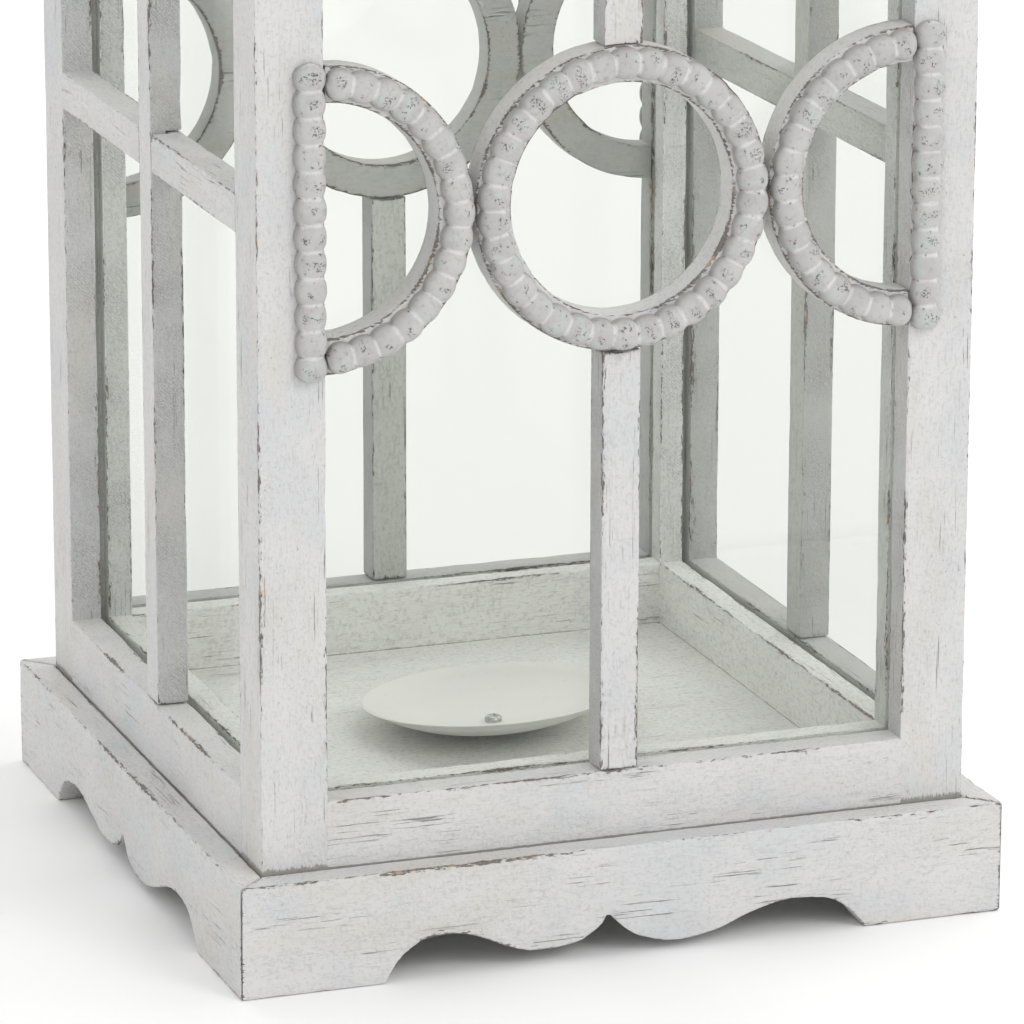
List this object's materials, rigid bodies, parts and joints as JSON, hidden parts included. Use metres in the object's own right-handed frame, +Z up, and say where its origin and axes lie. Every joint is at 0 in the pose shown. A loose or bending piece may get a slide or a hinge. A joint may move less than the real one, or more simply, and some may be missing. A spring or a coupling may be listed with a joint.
{
  "type": "candle lantern",
  "caption": "Tall square glazed wooden candle lantern with beaded ring tracery, side cross bars, scalloped plinth, hinged hipped roof and ring handle.",
  "frame": {"origin": "middle of the plinth at the ground", "axes": "+Z up, -Y towards the front face with the beaded rings, +X to the right seen from the front"},
  "size_m": [0.293, 0.293, 0.7399],
  "materials": {
    "whitewashed_wood": "distressed matt whitewash with dark worn edges",
    "beading_wood": "carved, greyish white wash, chalky",
    "clear_glass": "clear float glass",
    "cream_enamel": "off-white, satin",
    "zinc_screw": "bright zinc",
    "aged_iron": "aged, rubbed with whitewash"
  },
  "bodies": {
    "frame": {"plinth_front": "whitewashed_wood", "plinth_right": "whitewashed_wood", "plinth_back": "whitewashed_wood", "plinth_left": "whitewashed_wood", "post_front_left": "whitewashed_wood", "post_front_right": "whitewashed_wood", "post_back_right": "whitewashed_wood", "post_back_left": "whitewashed_wood", "bottom_rail_front": "whitewashed_wood", "top_rail_front": "whitewashed_wood", "bottom_rail_right": "whitewashed_wood", "top_rail_right": "whitewashed_wood", "bottom_rail_back": "whitewashed_wood", "top_rail_back": "whitewashed_wood", "bottom_rail_left": "whitewashed_wood", "top_rail_left": "whitewashed_wood", "floor_panel": "whitewashed_wood", "mullion_lower_front": "whitewashed_wood", "mullion_upper_front": "whitewashed_wood", "ring_front": "whitewashed_wood", "half_ring_front_left": "whitewashed_wood", "half_ring_front_right": "whitewashed_wood", "mullion_lower_back": "whitewashed_wood", "mullion_upper_back": "whitewashed_wood", "ring_back": "whitewashed_wood", "half_ring_back_left": "whitewashed_wood", "half_ring_back_right": "whitewashed_wood", "mullion_left": "whitewashed_wood", "cross_rail_left": "whitewashed_wood", "mullion_right": "whitewashed_wood", "cross_rail_right": "whitewashed_wood", "glass_front": "clear_glass", "glass_right": "clear_glass", "glass_back": "clear_glass", "glass_left": "clear_glass", "ring_beading_front": "beading_wood", "half_beading_front_left": "beading_wood", "half_beading_front_right": "beading_wood", "ring_beading_back": "beading_wood", "half_beading_back_left": "beading_wood", "half_beading_back_right": "beading_wood", "candle_plate": "cream_enamel", "plate_screw": "zinc_screw", "hinge_body_leaf_left": "aged_iron", "hinge_body_leaf_right": "aged_iron"},
    "roof": {"cornice_front": "whitewashed_wood", "cornice_right": "whitewashed_wood", "cornice_back": "whitewashed_wood", "cornice_left": "whitewashed_wood", "roof_board_front": "whitewashed_wood", "roof_board_right": "whitewashed_wood", "roof_board_back": "whitewashed_wood", "roof_board_left": "whitewashed_wood", "vent_collar": "whitewashed_wood", "vent_cap": "whitewashed_wood", "handle_eye": "aged_iron", "hinge_roof_leaf_left": "aged_iron", "hinge_roof_leaf_right": "aged_iron"},
    "handle": {"ring_handle": "aged_iron"}
  },
  "joints": [
    {"name": "roof_hinge", "type": "hinge", "parent": "frame", "child": "roof", "pos_m": [0, 0.1389, 0.5096], "axis": [-1, 0, 0], "range_deg": [0, 100]},
    {"name": "handle_swing", "type": "hinge", "parent": "roof", "child": "handle", "pos_m": [0, 0, 0.6854], "axis": [1, 0, 0], "range_deg": [-100, 100]}
  ]
}
